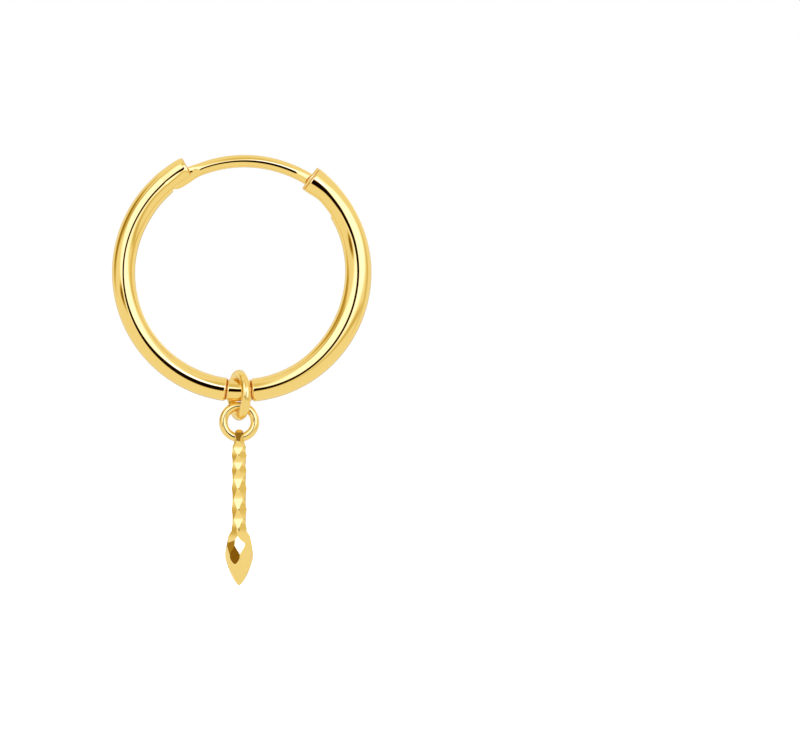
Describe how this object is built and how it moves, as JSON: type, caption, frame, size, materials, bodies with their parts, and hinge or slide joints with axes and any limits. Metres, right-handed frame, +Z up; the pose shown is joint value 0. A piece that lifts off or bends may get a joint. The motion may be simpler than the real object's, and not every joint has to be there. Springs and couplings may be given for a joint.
{
  "type": "hoop charm earring",
  "caption": "Hinged hoop earring of polished gold tube with an ear wire, linked rings and a diamond-cut bar ending in a faceted drop.",
  "frame": {"origin": "middle of the ear wire, where it rests in the ear", "axes": "+Z up, the hoop stands in the XZ plane and is seen from the front along +Y, with its hinge towards -X and its catch towards +X"},
  "size_m": [0.0156, 0.0028, 0.0258],
  "materials": {
    "polished_gold": "mirror-polished yellow gold",
    "cut_gold": "diamond-cut yellow gold with bright flat facets"
  },
  "bodies": {
    "hoop": {"hoop_tube": "polished_gold", "hinge_pin": "polished_gold"},
    "ear_wire": {"ear_wire": "polished_gold"},
    "upper_ring": {"upper_jump_ring": "polished_gold"},
    "lower_ring": {"lower_jump_ring": "polished_gold"},
    "charm": {"charm": "cut_gold"}
  },
  "joints": [
    {"name": "ear_wire_hinge", "type": "hinge", "parent": "hoop", "child": "ear_wire", "pos_m": [-0.00389, 0, -0.00122], "axis": [0, 1, 0], "range_deg": [0, 50]},
    {"name": "drop_swing", "type": "hinge", "parent": "hoop", "child": "upper_ring", "pos_m": [-0.00015, 0, -0.01374], "axis": [1, 0, 0], "range_deg": [-90, 90]},
    {"name": "side_swing", "type": "hinge", "parent": "upper_ring", "child": "lower_ring", "pos_m": [-0.00015, 0, -0.01562], "axis": [0, 1, 0], "range_deg": [-40, 40]},
    {"name": "charm_swing", "type": "hinge", "parent": "lower_ring", "child": "charm", "pos_m": [-0.00015, 0, -0.01656], "axis": [1, 0, 0], "range_deg": [-75, 75]}
  ]
}
